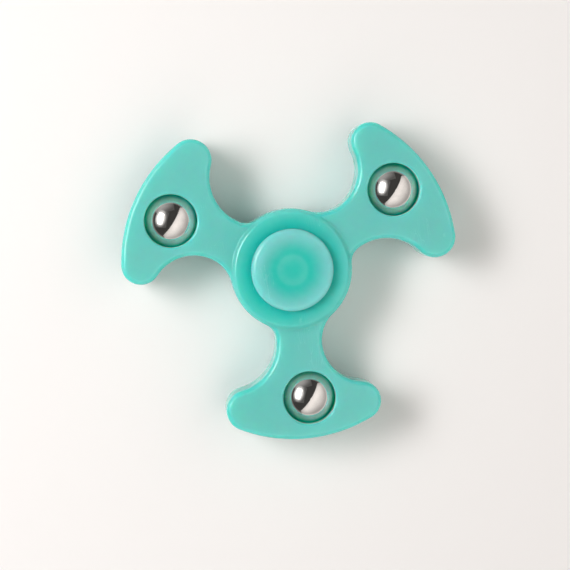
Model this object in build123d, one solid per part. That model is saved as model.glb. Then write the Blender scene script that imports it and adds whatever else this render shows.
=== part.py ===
from build123d import *
import math
import os

# Fidget spinner: a three-armed moulded body with a steel ball pressed into each arm, turning on a
# 608 ball bearing that is held between two finger caps.
# Millimetres and degrees. +Z is the spin axis, and the origin is on that axis in the plane that the
# bottom cap stands on. One arm points along -Y. Above and below the middle plane everything but the
# lip, the bearing pocket and the posts of the caps is a mirror image.

# Overall
OVERALL_HEIGHT = 16.0
MIDDLE = OVERALL_HEIGHT / 2
ARM_ANGLES = [-90, 30, 150]

# Body: plan view of one arm, along its own axis. "Leading" is the counter-clockwise side, seen from
# above, and "trailing" the clockwise side, where the wing reaches further.
HUB_RADIUS = 14.1
ARM_THICKNESS = 10.0
OUTER_ARC_RADIUS = 35.0
OUTER_ARC_CENTRE = 4.5
TRAILING_NECK = (15.2, 5.7)
TRAILING_TIP_RADIUS = 4.8
TRAILING_TIP_ANGLE = 29.0
LEADING_NECK = (18.3, 4.7)
LEADING_TIP_RADIUS = 4.5
LEADING_TIP_ANGLE = 23.2
EDGE_FILLET = 1.2

# Body: hub ring and bearing pocket. The ring's top falls a little towards its shoulder, and its side
# slopes out to the foot, where it meets the arms. Its wall stands a hair inside the arms' outline.
RING_HEIGHT = 12.0
CROWN_START = 9.8
CROWN_DROP = 0.2
RING_SHOULDER_RADIUS = 13.05
RING_FOOT_RADIUS = 13.8
RING_WALL_RADIUS = 13.98
RING_FILLET = 0.6
RING_CORNER_FILLET = 0.5
RING_FOOT_FILLET = 0.5
ARMS_HOLE_RADIUS = 12.0
LIP_HOLE_RADIUS = 9.0
LIP_FILLET = 0.3
POCKET_CHAMFER = 0.3

# Weight balls, half an inch across, snapped through slightly smaller mouths
WEIGHT_RADIUS = 12.7 / 2
WEIGHT_PITCH_RADIUS = 30.0
MOUTH_RADIUS = 6.1
MOUTH_FILLET = 0.5

# 608 bearing
BORE_RADIUS = 8.0 / 2
BEARING_RADIUS = 22.0 / 2
BEARING_WIDTH = 7.0
BALL_COUNT = 7
BALL_RADIUS = 3.969 / 2
BALL_PITCH_RADIUS = 7.5
RACE_CLEARANCE = 0.03
GROOVE_RADIUS = 2.08
INNER_SHOULDER_RADIUS = 6.05
OUTER_SHOULDER_RADIUS = 8.95
RACE_CORNER = 0.3

# Shields: pressed discs clipped into a step in each face of the outer ring
SHIELD_STEP_RADIUS = 9.75
SHIELD_STEP_DEPTH = 0.75
SHIELD_SHEET = 0.25
SHIELD_HOLE_RADIUS = 6.4
SHIELD_RIM_HEIGHT = 0.6

# Ball cage: two pressed half ribbons riveted together between the balls
CAGE_SHEET = 0.3
CAGE_INNER_RADIUS = 6.6
CAGE_OUTER_RADIUS = 8.4
CAGE_POCKET_RADIUS = 2.06
RIVET_RADIUS = 0.3
RIVET_HEAD_RADIUS = 0.5
RIVET_HEAD_HEIGHT = 0.22

# Finger caps
CAP_RADIUS = 9.5
CAP_EDGE_FILLET = 1.2
CAP_GAP = 0.3
CAP_UNDER_FILLET = 0.15
CAP_REST_WIDTH = 0.4
DISH_DEPTH = 0.25
DIMPLE_RADIUS = 3.6
DIMPLE_DEPTH = 0.09
SHOULDER_RADIUS = 5.6
PIN_RADIUS = 2.3
POST_END_GAP = 0.8
SOCKET_FLOOR = 0.5
PIN_END_GAP = 0.7
PIN_CHAMFER = 0.4


def polar(centre, radius, angle):
    """The point at an angle on a circle in the plane."""
    across = radius * math.cos(math.radians(angle))
    up = radius * math.sin(math.radians(angle))
    return (centre[0] + across, centre[1] + up)


def arc(centre, radius, start, end):
    """A circular arc between two angles about a centre."""
    middle = (start + end) / 2
    points = [polar(centre, radius, angle) for angle in (start, middle, end)]
    return ThreePointArc(*points)


def direction(start, end):
    """The angle of the line from one point to another."""
    return math.degrees(math.atan2(end[1] - start[1], end[0] - start[0]))


def revolved(profile):
    """A solid of revolution about +Z from a closed outline in the XZ plane."""
    return revolve(Plane.XZ * make_face(profile), Axis.Z)


def ring(inner, outer, low, high):
    """A plain ring about +Z between two heights."""
    solid = Pos(0, 0, low) * extrude(Circle(outer) - Circle(inner), high - low)
    return solid


def around(angle):
    """The placement turned by an angle about the spin axis."""
    return Rot(0, 0, angle)


# --- Body ---------------------------------------------------------------------------------------


def wing_side(neck, tip_radius, tip_angle):
    """One side of an arm, above its axis: hub fillet, wing and tip, each tangent to the next."""
    along, half_width = neck
    tip = polar((OUTER_ARC_CENTRE, 0), OUTER_ARC_RADIUS - tip_radius, tip_angle)
    hub_fillet = (along**2 + half_width**2 - HUB_RADIUS**2) / (2 * (HUB_RADIUS - half_width))
    ahead = tip[0] - along
    aside = tip[1] - half_width
    wing_radius = (ahead**2 + aside**2 - tip_radius**2) / (2 * (aside + tip_radius))
    fillet_centre = (along, half_width + hub_fillet)
    wing_centre = (along, half_width + wing_radius)
    leaves_hub = direction(fillet_centre, (0, 0)) % 360
    meets_tip = direction(wing_centre, tip)
    return [
        arc(fillet_centre, hub_fillet, leaves_hub, 270),
        arc(wing_centre, wing_radius, -90, meets_tip),
        arc(tip, tip_radius, meets_tip + 180, tip_angle),
    ]


def arm_outline():
    """The plan of one arm along +X, closed by a chord inside the hub."""
    leading = wing_side(LEADING_NECK, LEADING_TIP_RADIUS, LEADING_TIP_ANGLE)
    above = wing_side(TRAILING_NECK, TRAILING_TIP_RADIUS, TRAILING_TIP_ANGLE)
    trailing = [mirror(edge, Plane.XZ) for edge in above]
    outer = arc((OUTER_ARC_CENTRE, 0), OUTER_ARC_RADIUS, -TRAILING_TIP_ANGLE, LEADING_TIP_ANGLE)
    chord = Line(leading[0] @ 0, trailing[0] @ 0)
    return make_face(Curve() + leading + trailing + [outer, chord])


def is_at_radius(edge, radius):
    """Whether the middle of an edge is at a distance from the spin axis."""
    middle = edge @ 0.5
    return abs(math.hypot(middle.X, middle.Y) - radius) < 0.01


def is_circle(edge, radius, height):
    """Whether an edge runs about the spin axis at a height above or below the middle."""
    middle = edge @ 0.5
    return is_at_radius(edge, radius) and abs(abs(middle.Z - MIDDLE) - height) < 0.01


def hub_disc():
    """The hub before its bearing pocket: crowned top and bottom, and sloping sides."""
    top = RING_HEIGHT / 2
    arm_face = ARM_THICKNESS / 2
    shoulder = (RING_SHOULDER_RADIUS, top - CROWN_DROP)
    steepness = (shoulder[1] - arm_face) / (RING_FOOT_RADIUS - RING_SHOULDER_RADIUS)
    corner = (RING_WALL_RADIUS, arm_face - steepness * (RING_WALL_RADIUS - RING_FOOT_RADIUS))
    crown_width = RING_SHOULDER_RADIUS - CROWN_START
    crown_radius = (crown_width**2 + CROWN_DROP**2) / (2 * CROWN_DROP)
    spread = math.degrees(math.asin(crown_width / crown_radius))
    crown = arc((CROWN_START, top - crown_radius), crown_radius, 90, 90 - spread)
    side = Polyline(shoulder, corner, (RING_WALL_RADIUS, 0), (0, 0), (0, top), (CROWN_START, top))
    half = Pos(0, 0, MIDDLE) * revolved(Curve() + [crown, side])
    disc = half + mirror(half, Plane.XY.offset(MIDDLE))
    shoulders = disc.edges().filter_by(lambda edge: is_circle(edge, *shoulder))
    disc = fillet(shoulders, RING_FILLET)
    corners = disc.edges().filter_by(lambda edge: is_circle(edge, *corner))
    return fillet(corners, RING_CORNER_FILLET)


def hub_ring():
    """The hub with its bearing pocket, open below and closed above by a lip."""
    low = MIDDLE - RING_HEIGHT / 2
    lip_underside = MIDDLE + BEARING_WIDTH / 2
    hub = hub_disc()
    hub -= Pos(0, 0, low) * extrude(Circle(BEARING_RADIUS), lip_underside - low)
    hub -= Pos(0, 0, low) * extrude(Circle(LIP_HOLE_RADIUS), RING_HEIGHT)
    lip_edges = hub.edges().filter_by(lambda edge: is_at_radius(edge, LIP_HOLE_RADIUS))
    hub = fillet(lip_edges.sort_by(Axis.Z)[-1], LIP_FILLET)
    pocket_edges = hub.edges().filter_by(lambda edge: is_at_radius(edge, BEARING_RADIUS))
    return chamfer(pocket_edges.sort_by(Axis.Z)[0], POCKET_CHAMFER)


def arm_plate():
    """The three arms, with round edges, a seat for a ball in each, and a hole inside the hub."""
    plan = Circle(HUB_RADIUS)
    for angle in ARM_ANGLES:
        plan += around(angle) * arm_outline()
    plate = Pos(0, 0, MIDDLE - ARM_THICKNESS / 2) * extrude(plan, ARM_THICKNESS)
    flats = plate.faces().filter_by(Axis.Z)
    plate = fillet(flats.edges(), EDGE_FILLET)
    seats = [around(angle) * Pos(WEIGHT_PITCH_RADIUS, 0, MIDDLE) for angle in ARM_ANGLES]
    for seat in seats:
        plate -= seat * Cylinder(MOUTH_RADIUS, ARM_THICKNESS)
    mouths = plate.edges().filter_by(GeomType.CIRCLE)
    mouths = mouths.filter_by(lambda edge: abs(edge.radius - MOUTH_RADIUS) < 0.01)
    plate = fillet(mouths, MOUTH_FILLET)
    for seat in seats:
        plate -= seat * Sphere(WEIGHT_RADIUS)
    return plate - Pos(0, 0, MIDDLE) * Cylinder(ARMS_HOLE_RADIUS, RING_HEIGHT)


def spinner_body():
    """The moulding: the arms and the hub in one piece, with a small fillet where they meet."""
    body = arm_plate() + hub_ring()
    foot = body.edges().filter_by(
        lambda edge: is_circle(edge, RING_FOOT_RADIUS, ARM_THICKNESS / 2)
    )
    return fillet(foot, RING_FOOT_FILLET)


# --- Bearing ------------------------------------------------------------------------------------


def race_ring(inner, outer, groove_centre, corners):
    """A bearing ring with a ball groove turned into it, and its corners rounded."""
    half = BEARING_WIDTH / 2
    solid = ring(inner, outer, MIDDLE - half, MIDDLE + half)
    rims = solid.edges().filter_by(GeomType.CIRCLE)
    rims = rims.filter_by(lambda edge: min(abs(edge.radius - corner) for corner in corners) < 0.01)
    solid = fillet(rims, RACE_CORNER)
    return solid - Pos(0, 0, MIDDLE) * Torus(groove_centre, GROOVE_RADIUS)


def inner_ring():
    """The ring that the caps clamp."""
    groove_floor = BALL_PITCH_RADIUS - BALL_RADIUS - RACE_CLEARANCE
    groove_centre = groove_floor + GROOVE_RADIUS
    corners = (BORE_RADIUS, INNER_SHOULDER_RADIUS)
    return race_ring(BORE_RADIUS, INNER_SHOULDER_RADIUS, groove_centre, corners)


def outer_ring():
    """The ring pressed into the body, with a step in each face for a shield."""
    groove_floor = BALL_PITCH_RADIUS + BALL_RADIUS + RACE_CLEARANCE
    groove_centre = groove_floor - GROOVE_RADIUS
    solid = race_ring(OUTER_SHOULDER_RADIUS, BEARING_RADIUS, groove_centre, (BEARING_RADIUS,))
    upper_floor = MIDDLE + BEARING_WIDTH / 2 - SHIELD_STEP_DEPTH
    step = Pos(0, 0, upper_floor) * extrude(Circle(SHIELD_STEP_RADIUS), SHIELD_STEP_DEPTH)
    return solid - step - mirror(step, Plane.XY.offset(MIDDLE))


def upper_shield():
    """A flat pressed disc with its outer edge turned up."""
    floor = MIDDLE + BEARING_WIDTH / 2 - SHIELD_STEP_DEPTH
    disc = ring(SHIELD_HOLE_RADIUS, SHIELD_STEP_RADIUS, floor, floor + SHIELD_SHEET)
    rim_inner = SHIELD_STEP_RADIUS - SHIELD_SHEET
    rim = ring(rim_inner, SHIELD_STEP_RADIUS, floor, floor + SHIELD_RIM_HEIGHT)
    return disc + rim


def ball_places():
    """Where the bearing balls sit."""
    step = 360 / BALL_COUNT
    return [around(step * index) * Pos(BALL_PITCH_RADIUS, 0, MIDDLE) for index in range(BALL_COUNT)]


def rivet_places():
    """Where the cage rivets sit, half way between the balls."""
    step = 360 / BALL_COUNT
    angles = [step * (index + 0.5) for index in range(BALL_COUNT)]
    return [around(angle) * Pos(BALL_PITCH_RADIUS, 0, MIDDLE) for angle in angles]


def cage_upper_half():
    """A ribbon that bulges over each ball and lies flat on the middle plane between them."""
    pocket_outside = CAGE_POCKET_RADIUS + CAGE_SHEET
    ribbon = ring(CAGE_INNER_RADIUS, CAGE_OUTER_RADIUS, MIDDLE, MIDDLE + CAGE_SHEET)
    band = ring(CAGE_INNER_RADIUS, CAGE_OUTER_RADIUS, MIDDLE, MIDDLE + pocket_outside)
    for place in ball_places():
        ribbon += (place * Sphere(pocket_outside)) & band
    for place in ball_places():
        ribbon -= place * Sphere(CAGE_POCKET_RADIUS)
    for place in rivet_places():
        ribbon -= place * Cylinder(RIVET_RADIUS, 3 * CAGE_SHEET)
    return ribbon


def cage_rivets():
    """Seven rivets with a low head on each side of the two sheets."""
    shank_length = 2 * CAGE_SHEET
    rivets = []
    for place in rivet_places():
        rivet = Cylinder(RIVET_RADIUS, shank_length)
        for side in (1, -1):
            height = side * (shank_length + RIVET_HEAD_HEIGHT) / 2
            rivet += Pos(0, 0, height) * Cylinder(RIVET_HEAD_RADIUS, RIVET_HEAD_HEIGHT)
        rivets.append(place * rivet)
    return Compound(rivets)


# --- Caps ---------------------------------------------------------------------------------------


def cap_disc():
    """The upper cap without its post: dished top, round edge, shoulder down to the inner ring."""
    top = OVERALL_HEIGHT
    underside = MIDDLE + RING_HEIGHT / 2 + CAP_GAP
    seat = MIDDLE + BEARING_WIDTH / 2
    rest_outer = CAP_RADIUS - CAP_EDGE_FILLET
    rest_inner = rest_outer - CAP_REST_WIDTH
    dish_floor = top - DISH_DEPTH
    dish_width = rest_inner - DIMPLE_RADIUS
    dish_radius = (dish_width**2 + DISH_DEPTH**2) / (2 * DISH_DEPTH)
    rise = math.degrees(math.asin(dish_width / dish_radius))
    dish = arc((DIMPLE_RADIUS, dish_floor + dish_radius), dish_radius, -90, -90 + rise)
    dimple_radius = (DIMPLE_RADIUS**2 + DIMPLE_DEPTH**2) / (2 * DIMPLE_DEPTH)
    spread = math.degrees(math.asin(DIMPLE_RADIUS / dimple_radius))
    dimple_floor = dish_floor - DIMPLE_DEPTH
    dimple = arc((0, dimple_floor + dimple_radius), dimple_radius, -90, -90 + spread)
    edge = arc((rest_outer, top - CAP_EDGE_FILLET), CAP_EDGE_FILLET, 90, 0)
    walls = Polyline(
        edge @ 1,
        (CAP_RADIUS, underside + CAP_UNDER_FILLET),
        (CAP_RADIUS - CAP_UNDER_FILLET, underside),
        (SHOULDER_RADIUS, underside),
        (SHOULDER_RADIUS, seat),
        (0, seat),
        dimple @ 0,
    )
    rest = Line(dish @ 1, edge @ 0)
    return revolved(Curve() + [dimple, dish, rest, edge, walls])


def top_cap():
    """The cap with the hollow post that fills the bearing's bore."""
    seat = MIDDLE + BEARING_WIDTH / 2
    post_end = MIDDLE - BEARING_WIDTH / 2 + POST_END_GAP
    post = ring(PIN_RADIUS, BORE_RADIUS, post_end, seat - SOCKET_FLOOR)
    plug = Pos(0, 0, seat - SOCKET_FLOOR) * extrude(Circle(BORE_RADIUS), SOCKET_FLOOR)
    return cap_disc() + plug + post


def bottom_cap():
    """The cap with the pin that presses into the hollow post."""
    disc = mirror(cap_disc(), Plane.XY.offset(MIDDLE))
    seat = MIDDLE - BEARING_WIDTH / 2
    pin_end = MIDDLE + BEARING_WIDTH / 2 - SOCKET_FLOOR - PIN_END_GAP
    pin = Pos(0, 0, seat) * extrude(Circle(PIN_RADIUS), pin_end - seat)
    pin = chamfer(pin.faces().sort_by(Axis.Z)[-1].edges(), PIN_CHAMFER)
    return disc + pin


# --- Assembly -----------------------------------------------------------------------------------

nodes = {
    "spinner_body": spinner_body(),
    "bearing_outer_ring": outer_ring(),
    "bearing_inner_ring": inner_ring(),
    "upper_shield": upper_shield(),
    "lower_shield": mirror(upper_shield(), Plane.XY.offset(MIDDLE)),
    "cage_upper_half": cage_upper_half(),
    "cage_lower_half": mirror(cage_upper_half(), Plane.XY.offset(MIDDLE)),
    "cage_rivets": cage_rivets(),
    "top_cap": top_cap(),
    "bottom_cap": bottom_cap(),
}
for index, angle in enumerate(ARM_ANGLES, start=1):
    seat = around(angle) * Pos(WEIGHT_PITCH_RADIUS, 0, MIDDLE)
    nodes[f"weight_ball_{index}"] = seat * Sphere(WEIGHT_RADIUS)
for index, place in enumerate(ball_places(), start=1):
    nodes[f"bearing_ball_{index}"] = place * Sphere(BALL_RADIUS)

os.makedirs("parts", exist_ok=True)
for name, solid in nodes.items():
    export_step(solid, f"parts/{name}.step")
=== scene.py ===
import math

import bpy
from mathutils import Matrix, Vector


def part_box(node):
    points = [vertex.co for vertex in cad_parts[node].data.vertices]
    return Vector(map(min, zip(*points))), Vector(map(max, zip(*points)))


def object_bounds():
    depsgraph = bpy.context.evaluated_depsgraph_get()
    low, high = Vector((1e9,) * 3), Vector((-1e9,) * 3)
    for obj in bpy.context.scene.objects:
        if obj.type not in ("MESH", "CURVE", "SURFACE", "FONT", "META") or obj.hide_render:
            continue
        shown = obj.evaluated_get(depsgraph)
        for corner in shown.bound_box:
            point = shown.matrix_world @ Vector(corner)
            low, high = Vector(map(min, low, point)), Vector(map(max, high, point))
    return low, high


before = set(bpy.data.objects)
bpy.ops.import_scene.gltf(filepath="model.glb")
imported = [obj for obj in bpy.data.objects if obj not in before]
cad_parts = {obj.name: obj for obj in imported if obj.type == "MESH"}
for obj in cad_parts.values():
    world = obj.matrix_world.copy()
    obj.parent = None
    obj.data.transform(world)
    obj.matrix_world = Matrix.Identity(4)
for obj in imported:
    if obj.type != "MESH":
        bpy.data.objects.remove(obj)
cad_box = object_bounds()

# A fidget spinner lying on a pale floor. The CAD nodes keep their shapes, and this file gives them
# their materials, and adds the floor, the lamps and the camera.
# The scene is in metres. Materials work in millimetres, from the object's own coordinates.

MM = 0.001
MIDDLE = (cad_box[0].z + cad_box[1].z) / 2 / MM
WEIGHTS = [f"weight_ball_{n}" for n in range(1, 4)]
ROLLERS = [f"bearing_ball_{n}" for n in range(1, 8)]

# Camera: nearly straight above the spinner, which is turned a little in the frame.
SPINNER_TURN = math.radians(8.2)
CAMERA_DISTANCE = 420 * MM
CAMERA_LEAN_LEFT = math.radians(4.0)
CAMERA_LEAN_UP = math.radians(3.0)
FRAME_WIDTH = 132.9 * MM
SENSOR_WIDTH = 36.0
AIM_RIGHT = -1.2 * MM
AIM_UP = -3.8 * MM
CLIP_START = 0.01
CLIP_END = 20.0

# Directions as the camera sees them, along the floor.
RIGHT = Vector((math.cos(SPINNER_TURN), -math.sin(SPINNER_TURN), 0.0))
UP = Vector((math.sin(SPINNER_TURN), math.cos(SPINNER_TURN), 0.0))
OUT = Vector((0.0, 0.0, 1.0))

# Floor and room. The floor fades out far from the spinner, and has a hole that the bottom cap
# covers, which lets light reach the cap's dish.
FLOOR_HALF_SIDE = 3.0
FLOOR_COLOUR = (0.94, 0.925, 0.92, 1.0)
FLOOR_ROUGHNESS = 0.75
FLOOR_SPECULAR = 0.2
FLOOR_FADE_START = 0.30
FLOOR_FADE_END = 0.75
FLOOR_HOLE_START = 7.8 * MM
FLOOR_HOLE_END = 8.2 * MM
ROOM_COLOUR = (0.96, 0.93, 0.88, 1.0)
ROOM_LOW = 0.05
ROOM_HIGH = 0.25
ROOM_BRIGHTNESS_LOW = 0.65
ROOM_BRIGHTNESS_HIGH = 0.065
BACKDROP_COLOUR = (0.93, 0.925, 0.925, 1.0)
BACKDROP_BRIGHTNESS = 0.85

# Colours of the plastic and the metals.
# The body's pale end: a painted sheen and glow on the arms.
MINT = (0.178, 0.625, 0.590)
MINT_DEEP = (0.028, 0.610, 0.515)
# The body's deep end: painted shade inside the hub, near the cap and over the bearing, and on
# slopes.
MINT_BODY_SHADE = (0.010, 0.600, 0.520)
# The caps' pale end, a painted sheen and glow on their rims; also the tint of the clouds and
# scuffs.
MINT_PALE = (0.235, 0.730, 0.690)
# Walls round the arm balls: a painted glow above, and a painted shade, low in red, below.
MINT_SEAT_GLOW = (0.48, 0.80, 0.73)
MINT_SEAT_SHADE = (0.014, 0.780, 0.700)
STEEL = (0.70, 0.685, 0.67)
CAGE_STEEL = (0.58, 0.56, 0.53)

# Plastic. Light spreads further through it in green and blue than in red.
PLASTIC_IOR = 1.53
PLASTIC_ROUGHNESS = 0.12
SUBSURFACE_SCALE = 1.5 * MM
SUBSURFACE_RADIUS = (0.6, 3.5, 2.8)

# Paleness of the plastic along the radius, as (part of the reach, paleness) stops. This is painted
# light: pale is a painted sheen and glow, deep a painted shade near the cap and over the bearing,
# and the pale ring near the caps' middles is a painted highlight.
BODY_REACH = 20.0
BODY_GLOW_SHADE_STOPS = [(0.0, 0.0), (0.48, 0.02), (0.56, 0.20), (0.66, 0.65), (0.76, 0.92), (1.0, 1.0)]
CAP_REACH = 9.5
CAP_GLOW_SHADE_STOPS = [
    (0.0, 0.0),
    (0.16, 0.03),
    (0.33, 0.40),
    (0.41, 0.0),
    (0.52, 0.15),
    (0.68, 0.5),
    (0.84, 1.0),
    (1.0, 1.0),
]

# A face is a slope below the first height of its normal, and a flat above the second. Slopes keep
# most of their paleness inside the hub's edge, and less of it outside, so the flats carry a
# painted sheen that the slopes lack.
SLOPE_NORMAL = 0.90
FLAT_NORMAL = 0.995
HUB_EDGE_START = 13.6
HUB_EDGE_END = 14.2
HUB_SLOPE_PALENESS = 0.95
ARM_SLOPE_PALENESS = 0.62

# Seats of the arm balls: how near to a ball's axis, how upright, and how deep their walls are.
# Their walls get a painted shade low down by the ball and a painted glow higher up.
SEAT_NEAR = 6.5
SEAT_FAR = 6.8
SEAT_UPRIGHT_NORMAL = 0.30
SEAT_SLANTED_NORMAL = 0.60
SEAT_DEEP = 2.15
SEAT_SHALLOW = 3.5


# --- Node helpers -------------------------------------------------------------------------------


def add(tree, kind, inputs=None, **settings):
    """A node with its settings, and with a link or a value at each named input."""
    made = tree.nodes.new(kind)
    for key, value in settings.items():
        setattr(made, key, value)
    for socket, value in (inputs or {}).items():
        if isinstance(value, bpy.types.NodeSocket):
            tree.links.new(value, made.inputs[socket])
        else:
            made.inputs[socket].default_value = value
    return made


def new_material(name, **constants):
    """A node material whose shader has some constants set on its own sockets."""
    mat = bpy.data.materials.new(name)
    mat.use_nodes = True
    shader = mat.node_tree.nodes["Principled BSDF"]
    for socket, value in constants.items():
        shader.inputs[socket.replace("_", " ")].default_value = value
    return mat, mat.node_tree, shader


def in_millimetres(tree):
    place = add(tree, "ShaderNodeTexCoord").outputs["Object"]
    scaled = {0: place, "Scale": 1 / MM}
    return add(tree, "ShaderNodeVectorMath", scaled, operation="SCALE").outputs[0]


def noise(tree, vector, scale, detail=2.0, distortion=0.0):
    settings = {"Vector": vector, "Scale": scale, "Detail": detail, "Distortion": distortion}
    return add(tree, "ShaderNodeTexNoise", settings).outputs["Fac"]


def remap(tree, value, from_min, from_max, to_min=0.0, to_max=1.0, curve="LINEAR"):
    limits = {"From Min": from_min, "From Max": from_max, "To Min": to_min, "To Max": to_max}
    inputs = {"Value": value, **limits}
    return add(tree, "ShaderNodeMapRange", inputs, interpolation_type=curve).outputs["Result"]


def combine(tree, operation, first, second):
    return add(tree, "ShaderNodeMath", {0: first, 1: second}, operation=operation).outputs[0]


def absolute(tree, value):
    return add(tree, "ShaderNodeMath", {0: value}, operation="ABSOLUTE").outputs[0]


def height_of(tree, vector):
    return add(tree, "ShaderNodeSeparateXYZ", {0: vector}).outputs["Z"]


def in_plan(tree, place):
    """A place moved down to the floor."""
    inputs = {0: place, 1: (1.0, 1.0, 0.0)}
    return add(tree, "ShaderNodeVectorMath", inputs, operation="MULTIPLY").outputs[0]


def length(tree, vector):
    return add(tree, "ShaderNodeVectorMath", {0: vector}, operation="LENGTH").outputs["Value"]


def distance(tree, first, second):
    inputs = {0: first, 1: second}
    return add(tree, "ShaderNodeVectorMath", inputs, operation="DISTANCE").outputs["Value"]


def blend_colours(tree, amount, first, second):
    mix = add(tree, "ShaderNodeMix", data_type="RGBA")
    colours = [s for s in mix.inputs if s.type == "RGBA"]
    for socket, value in zip(colours, (first, second)):
        if isinstance(value, bpy.types.NodeSocket):
            tree.links.new(value, socket)
        else:
            socket.default_value = (*value, 1.0)
    tree.links.new(amount, mix.inputs["Factor"])
    return [s for s in mix.outputs if s.type == "RGBA"][0]


def bump(tree, height, strength, depth, skin=None, invert=False):
    inputs = {"Height": height, "Strength": strength, "Distance": depth * MM}
    if skin:
        inputs["Normal"] = skin
    return add(tree, "ShaderNodeBump", inputs, invert=invert).outputs[0]


def profile(tree, value, stops):
    """A smooth curve through (position, level) stops."""
    curve = add(tree, "ShaderNodeValToRGB", {"Fac": value})
    marks = curve.color_ramp.elements
    while len(marks) < len(stops):
        marks.new(0.5)
    curve.color_ramp.interpolation = "B_SPLINE"
    for mark, (at, level) in zip(marks, stops):
        mark.position = at
        mark.color = (level, level, level, 1.0)
    return curve.outputs["Color"]


# --- Surface detail -----------------------------------------------------------------------------


def hairlines(tree, vector, angle, pitch):
    """Fine wavy lines that run in about one direction."""
    stretch = 14.0
    width = 0.012
    scale = (1 / pitch, 1 / stretch, 1 / stretch)
    inputs = {"Vector": vector, "Rotation": (0.0, 0.0, angle), "Scale": scale}
    turned = add(tree, "ShaderNodeMapping", inputs).outputs[0]
    off_line = absolute(tree, combine(tree, "SUBTRACT", noise(tree, turned, 1.0, detail=0.0), 0.5))
    return remap(tree, off_line, 0.0, width, 1.0, 0.0)


def scuffs(tree, vector):
    """Hairline scratches in three directions, in patches."""
    lines = None
    for angle, pitch in ((0.35, 0.9), (1.45, 1.3), (2.45, 1.1)):
        family = hairlines(tree, vector, angle, pitch)
        lines = family if lines is None else combine(tree, "MAXIMUM", lines, family)
    patches = remap(tree, noise(tree, vector, 0.11, detail=3.0), 0.52, 0.70)
    return combine(tree, "MULTIPLY", lines, patches)


def seat_distance(tree, place):
    """How far a place is from the nearest arm ball's upright axis."""
    nearest = None
    for name in WEIGHTS:
        low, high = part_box(name)
        axis = (low + high) / 2 / MM
        off = distance(tree, in_plan(tree, place), (axis.x, axis.y, 0.0))
        nearest = off if nearest is None else combine(tree, "MINIMUM", nearest, off)
    return nearest


def seat_painted_glow_and_shade(tree, place, steepness, tone):
    """The plastic's colour, with painted light on the walls round the arm balls: a painted glow
    above and a painted shade below.
    """
    upright = remap(tree, steepness, SEAT_SLANTED_NORMAL, SEAT_UPRIGHT_NORMAL)
    near = remap(tree, seat_distance(tree, place), SEAT_FAR, SEAT_NEAR)
    height = absolute(tree, combine(tree, "SUBTRACT", height_of(tree, place), MIDDLE))
    wall = blend_colours(tree, remap(tree, height, SEAT_DEEP, SEAT_SHALLOW), MINT_SEAT_SHADE, MINT_SEAT_GLOW)
    return blend_colours(tree, combine(tree, "MULTIPLY", upright, near), tone, wall)


def paleness_with_painted_light(tree, place, level, reach, stops, arm_slope_paleness):
    """How pale the plastic is: painted sheen, glow and shade by radius, with slow flow marks, and
    deeper on slopes, where the painted sheen of the flats is lost.
    """
    radius = length(tree, in_plan(tree, place))
    # Painted light by radius: pale for a painted sheen and glow, deep for a painted shade.
    depth = profile(tree, remap(tree, radius, 0.0, reach), stops)
    flow = noise(tree, place, 0.06, detail=4.0, distortion=1.2)
    paleness = combine(tree, "ADD", depth, remap(tree, flow, 0.3, 0.7, -0.10, 0.10))
    # Slopes lose part of the paleness: the flats keep a painted sheen.
    edge = (HUB_EDGE_START, HUB_EDGE_END, HUB_SLOPE_PALENESS, arm_slope_paleness)
    kept = combine(tree, "SUBTRACT", 1.0, remap(tree, radius, *edge))
    sloped = combine(tree, "SUBTRACT", 1.0, level)
    sheen_lost_on_slopes = combine(tree, "MULTIPLY", sloped, kept)
    return combine(tree, "MULTIPLY", paleness, combine(tree, "SUBTRACT", 1.0, sheen_lost_on_slopes))


# --- Materials ----------------------------------------------------------------------------------


def moulded_plastic(name, reach, stops, deep, pale, arm_slope_paleness, seat_walls=False):
    """Glossy, slightly translucent plastic, with flow marks, orange peel and light scuffs, and
    with painted sheen, glow and shade in its colour.
    """
    mat, tree, shader = new_material(
        name,
        IOR=PLASTIC_IOR,
        Subsurface_Weight=1.0,
        Subsurface_Scale=SUBSURFACE_SCALE,
        Subsurface_Radius=SUBSURFACE_RADIUS,
    )
    place = in_millimetres(tree)
    steepness = absolute(tree, height_of(tree, add(tree, "ShaderNodeTexCoord").outputs["Normal"]))
    level = remap(tree, steepness, SLOPE_NORMAL, FLAT_NORMAL)
    paleness = paleness_with_painted_light(tree, place, level, reach, stops, arm_slope_paleness)
    tone = blend_colours(tree, paleness, deep, pale)
    clouds = remap(tree, noise(tree, place, 0.25, detail=3.0), 0.45, 0.80, 0.0, 0.08)
    tone = blend_colours(tree, clouds, tone, MINT_PALE)
    # The walls round the arm balls get a painted glow above and a painted shade below.
    if seat_walls:
        tone = seat_painted_glow_and_shade(tree, place, steepness, tone)
    marks = scuffs(tree, place)
    tone = blend_colours(tree, remap(tree, marks, 0.0, 1.0, 0.0, 0.08), tone, MINT_PALE)
    tree.links.new(tone, shader.inputs["Base Color"])
    fine = noise(tree, place, 2.4, detail=6.0)
    lowest = PLASTIC_ROUGHNESS - 0.02
    highest = PLASTIC_ROUGHNESS + 0.02
    roughness = remap(tree, fine, 0.3, 0.7, lowest, highest)
    roughness = combine(tree, "ADD", roughness, remap(tree, level, 0.0, 1.0, -0.03, 0.12))
    roughness = combine(tree, "ADD", roughness, remap(tree, marks, 0.0, 1.0, 0.0, 0.12))
    tree.links.new(roughness, shader.inputs["Roughness"])
    skin = bump(tree, noise(tree, place, 0.55, detail=3.0), 0.10, 0.02)
    scratched = bump(tree, marks, 0.08, 0.01, skin=skin, invert=True)
    tree.links.new(scratched, shader.inputs["Normal"])
    return mat


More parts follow.
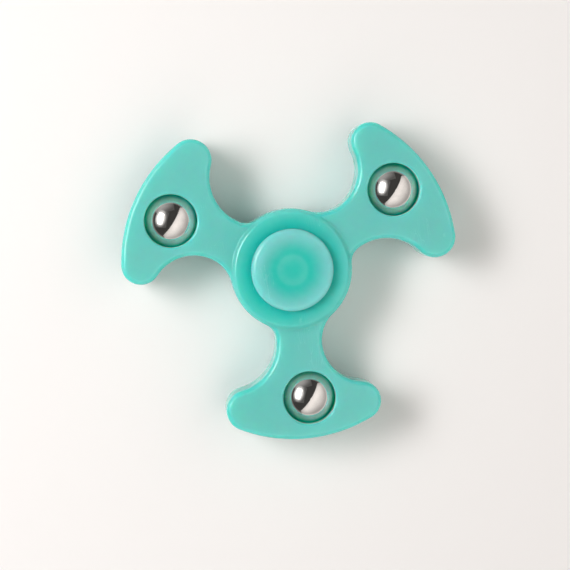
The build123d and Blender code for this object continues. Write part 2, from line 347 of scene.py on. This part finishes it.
def polished_metal(name, colour, rough, spread):
    """Mirror-polished steel with a faint haze, scuffs and lapping marks."""
    mat, tree, shader = new_material(name, Metallic=1.0)
    place = in_millimetres(tree)
    haze = noise(tree, place, 0.35, detail=5.0)
    dull = tuple(0.86 * c for c in colour)
    tone = blend_colours(tree, remap(tree, haze, 0.35, 0.75), colour, dull)
    tree.links.new(tone, shader.inputs["Base Color"])
    roughness = remap(tree, haze, 0.3, 0.8, rough, rough + spread)
    marks = remap(tree, scuffs(tree, place), 0.0, 1.0, 0.0, 0.10)
    roughness = combine(tree, "ADD", roughness, marks)
    tree.links.new(roughness, shader.inputs["Roughness"])
    lapped = bump(tree, noise(tree, place, 9.0), 0.05, 0.004)
    tree.links.new(lapped, shader.inputs["Normal"])
    return mat


def turned_metal(name, colour, rough, pitch):
    """Ground or pressed steel with fine rings round the axis, and faint stains."""
    mat, tree, shader = new_material(name, Metallic=1.0)
    place = in_millimetres(tree)
    wave = {"Vector": place, "Scale": 0.31 / pitch, "Distortion": 0.25}
    wave.update({"Detail": 2.0, "Detail Scale": 1.5})
    rings = add(
        tree, "ShaderNodeTexWave", wave, wave_type="RINGS", rings_direction="Z"
    ).outputs["Fac"]
    stain = noise(tree, place, 0.3, detail=5.0)
    dull = tuple(0.78 * c for c in colour)
    tone = blend_colours(tree, remap(tree, stain, 0.40, 0.75), colour, dull)
    tree.links.new(tone, shader.inputs["Base Color"])
    roughness = remap(tree, rings, 0.0, 1.0, rough - 0.05, rough + 0.08)
    roughness = combine(tree, "ADD", roughness, remap(tree, stain, 0.4, 0.8, 0.0, 0.08))
    tree.links.new(roughness, shader.inputs["Roughness"])
    tree.links.new(bump(tree, rings, 0.25, 0.01), shader.inputs["Normal"])
    return mat


def assign(mat, *names):
    for name in names:
        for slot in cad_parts[name].material_slots:
            slot.material = mat


def finishes():
    """The material of every CAD node."""
    body = moulded_plastic(
        "mint_body", BODY_REACH, BODY_GLOW_SHADE_STOPS, MINT_BODY_SHADE, MINT, ARM_SLOPE_PALENESS, seat_walls=True
    )
    caps = moulded_plastic(
        "mint_caps", CAP_REACH, CAP_GLOW_SHADE_STOPS, MINT_DEEP, MINT_PALE, HUB_SLOPE_PALENESS
    )
    assign(body, "spinner_body")
    assign(caps, "top_cap", "bottom_cap")
    assign(polished_metal("polished_steel", STEEL, 0.05, 0.05), *WEIGHTS)
    assign(polished_metal("roller_steel", STEEL, 0.04, 0.04), *ROLLERS)
    races = turned_metal("race_steel", STEEL, 0.24, 0.16)
    assign(races, "bearing_outer_ring", "bearing_inner_ring")
    shields = turned_metal("shield_steel", STEEL, 0.30, 0.25)
    assign(shields, "upper_shield", "lower_shield")
    cage = turned_metal("cage_steel", CAGE_STEEL, 0.36, 0.4)
    assign(cage, "cage_upper_half", "cage_lower_half", "cage_rivets")


# --- Stage --------------------------------------------------------------------------------------


def floor():
    """A pale floor that can be seen only from above."""
    side = FLOOR_HALF_SIDE
    mesh = bpy.data.meshes.new("floor")
    corners = [(-side, -side, 0.0), (side, -side, 0.0), (side, side, 0.0), (-side, side, 0.0)]
    mesh.from_pydata(corners, [], [(0, 1, 2, 3)])
    made = bpy.data.objects.new("floor", mesh)
    bpy.context.scene.collection.objects.link(made)
    mat, tree, shader = new_material(
        "floor_card",
        Base_Color=FLOOR_COLOUR,
        Roughness=FLOOR_ROUGHNESS,
        Specular_IOR_Level=FLOOR_SPECULAR,
    )
    from_below = add(tree, "ShaderNodeNewGeometry").outputs["Backfacing"]
    reach = length(tree, add(tree, "ShaderNodeTexCoord").outputs["Object"])
    faded = remap(tree, reach, FLOOR_FADE_START, FLOOR_FADE_END, curve="SMOOTHSTEP")
    under_cap = remap(tree, reach, FLOOR_HOLE_START, FLOOR_HOLE_END, 1.0, 0.0)
    see_through = combine(tree, "MAXIMUM", combine(tree, "MAXIMUM", faded, under_cap), from_below)
    clear = add(tree, "ShaderNodeBsdfTransparent").outputs[0]
    mixed = {0: see_through, 1: shader.outputs[0], 2: clear}
    shown = add(tree, "ShaderNodeMixShader", mixed).outputs[0]
    tree.links.new(shown, tree.nodes["Material Output"].inputs["Surface"])
    mesh.materials.append(mat)


def seen_from(azimuth, lean):
    """The direction at an azimuth in the camera's frame, leaning away from straight above."""
    a = math.radians(azimuth)
    t = math.radians(lean)
    return math.sin(t) * (math.cos(a) * RIGHT + math.sin(a) * UP) + math.cos(t) * OUT


def softbox(name, azimuth, lean, distance_away, size, brightness, colour, hot_spot):
    """A rectangular lamp aimed at the spinner, brightest at one spot: (place, reach, rim)."""
    width, height = size
    lamp = bpy.data.lights.new(name, "AREA")
    lamp.shape = "RECTANGLE"
    lamp.size = width
    lamp.size_y = height
    lamp.energy = brightness * math.pi * width * height
    lamp.color = colour
    lamp.use_nodes = True
    tree = lamp.node_tree
    centre, reach, rim = hot_spot
    across = add(tree, "ShaderNodeNewGeometry").outputs["Parametric"]
    off = distance(tree, across, (*centre, 0.0))
    glow = remap(tree, off, 0.0, reach, 1.0, rim, curve="SMOOTHSTEP")
    tree.links.new(glow, tree.nodes["Emission"].inputs["Strength"])
    direction = seen_from(azimuth, lean)
    turn = (-direction).to_track_quat("-Z", "Y").to_matrix().to_4x4()
    made = bpy.data.objects.new(name, lamp)
    made.matrix_world = Matrix.Translation(direction * distance_away) @ turn
    made.visible_camera = False
    bpy.context.scene.collection.objects.link(made)


def lamps():
    """A key at the left with its halo, a wide fill at the lower right, and a dim wall."""
    softbox(
        "key",
        azimuth=168,
        lean=45,
        distance_away=0.60,
        size=(0.46, 0.24),
        brightness=12.0,
        colour=(1.0, 0.99, 0.985),
        hot_spot=((0.4, 0.4), 0.7, 0.08),
    )
    softbox(
        "key_halo",
        azimuth=168,
        lean=42,
        distance_away=0.66,
        size=(0.88, 0.64),
        brightness=2.6,
        colour=(1.0, 0.985, 0.97),
        hot_spot=((0.48, 0.42), 0.54, 0.03),
    )
    softbox(
        "fill",
        azimuth=-31,
        lean=54,
        distance_away=0.75,
        size=(6.0, 1.36),
        brightness=1.28,
        colour=(1.0, 0.945, 0.90),
        hot_spot=((0.5, 0.80), 0.6, 0.30),
    )
    softbox(
        "wall",
        azimuth=116,
        lean=62,
        distance_away=0.90,
        size=(1.2, 0.75),
        brightness=0.45,
        colour=(1.0, 0.98, 0.96),
        hot_spot=((0.6, 0.3), 0.7, 0.15),
    )


def room():
    """Dim light from all round, brighter near the floor, and a plain backdrop for the camera."""
    world = bpy.data.worlds.new("studio")
    world.use_nodes = True
    tree = world.node_tree
    light = tree.nodes["Background"]
    light.inputs["Color"].default_value = ROOM_COLOUR
    elevation = height_of(tree, add(tree, "ShaderNodeTexCoord").outputs["Generated"])
    strength = remap(
        tree, elevation, ROOM_LOW, ROOM_HIGH, ROOM_BRIGHTNESS_LOW, ROOM_BRIGHTNESS_HIGH
    )
    tree.links.new(strength, light.inputs["Strength"])
    plain = {"Color": BACKDROP_COLOUR, "Strength": BACKDROP_BRIGHTNESS}
    backdrop = add(tree, "ShaderNodeBackground", plain).outputs[0]
    seen = add(tree, "ShaderNodeLightPath").outputs["Is Camera Ray"]
    both = add(tree, "ShaderNodeMixShader", {0: seen, 1: light.outputs[0], 2: backdrop})
    tree.links.new(both.outputs[0], tree.nodes["World Output"].inputs["Surface"])
    bpy.context.scene.world = world


def camera():
    made = bpy.data.objects.new("camera", bpy.data.cameras.new("camera"))
    centre = Vector((0.0, 0.0, MIDDLE * MM))
    target = centre + AIM_RIGHT * RIGHT + AIM_UP * UP
    leaning = OUT - math.tan(CAMERA_LEAN_LEFT) * RIGHT + math.tan(CAMERA_LEAN_UP) * UP
    back = leaning.normalized()
    across = (RIGHT - RIGHT.dot(back) * back).normalized()
    over = back.cross(across)
    turn = Matrix((across, over, back)).transposed().to_4x4()
    made.matrix_world = Matrix.Translation(target + CAMERA_DISTANCE * back) @ turn
    made.data.sensor_width = SENSOR_WIDTH
    made.data.lens = SENSOR_WIDTH * CAMERA_DISTANCE / FRAME_WIDTH
    made.data.clip_start = CLIP_START
    made.data.clip_end = CLIP_END
    bpy.context.scene.collection.objects.link(made)
    bpy.context.scene.camera = made


finishes()
floor()
lamps()
room()
camera()
bpy.context.scene.view_settings.view_transform = "Standard"
